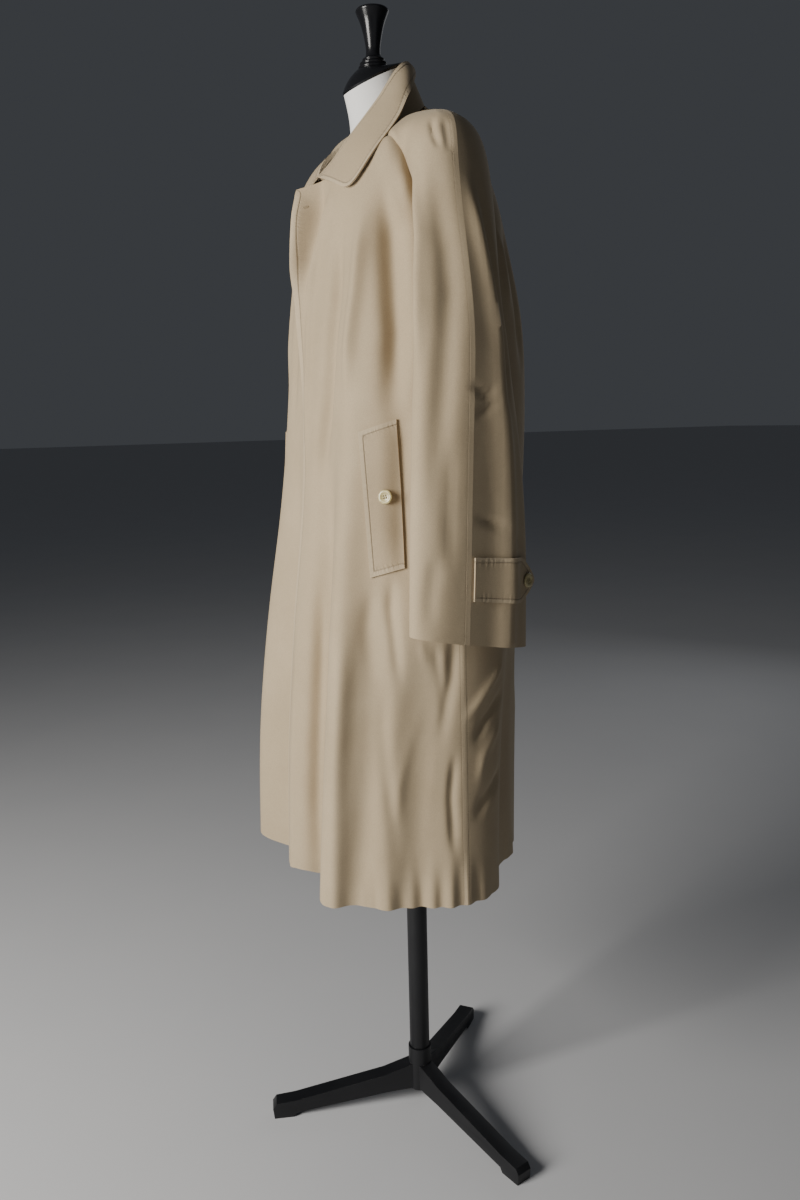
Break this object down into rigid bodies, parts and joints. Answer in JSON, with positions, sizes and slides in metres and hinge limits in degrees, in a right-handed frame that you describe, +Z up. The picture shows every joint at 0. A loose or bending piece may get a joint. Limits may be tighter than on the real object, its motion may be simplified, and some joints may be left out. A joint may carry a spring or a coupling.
{
  "type": "car coat and dress form stand",
  "caption": "Raglan car coat with turned-down collar, slanted pocket welts and cuff tabs, worn by a limbless dress form on a pole with a cast foot.",
  "frame": {"origin": "on the floor, under the middle of the whole object's box", "axes": "+Z up the pole, +X to the wearer's left, -Y to the front of the coat"},
  "size_m": [0.5818, 0.4238, 1.6461],
  "materials": {
    "gabardine": "light khaki cotton twill, matt with a faint sheen",
    "horn": "pale yellow horn-like, polished",
    "form_cloth": "off-white jersey stretched over a shell, matt",
    "lacquer": "black gloss lacquer",
    "black_steel": "black satin paint",
    "black_iron": "black satin paint, worn at the edges"
  },
  "bodies": {
    "root": {"front_left": "gabardine", "front_right": "gabardine", "back": "gabardine", "sleeve_left_front": "gabardine", "sleeve_left_back": "gabardine", "sleeve_right_front": "gabardine", "sleeve_right_back": "gabardine", "collar": "gabardine", "pocket_welt_left": "gabardine", "pocket_welt_right": "gabardine", "cuff_tab_left": "gabardine", "cuff_tab_right": "gabardine", "pocket_button_left": "horn", "pocket_button_right": "horn", "cuff_button_left": "horn", "cuff_button_right": "horn", "neck_button": "horn", "form_torso": "form_cloth", "neck_cap": "lacquer", "finial": "lacquer", "pole": "black_steel", "stand_foot": "black_iron"}
  },
  "joints": []
}
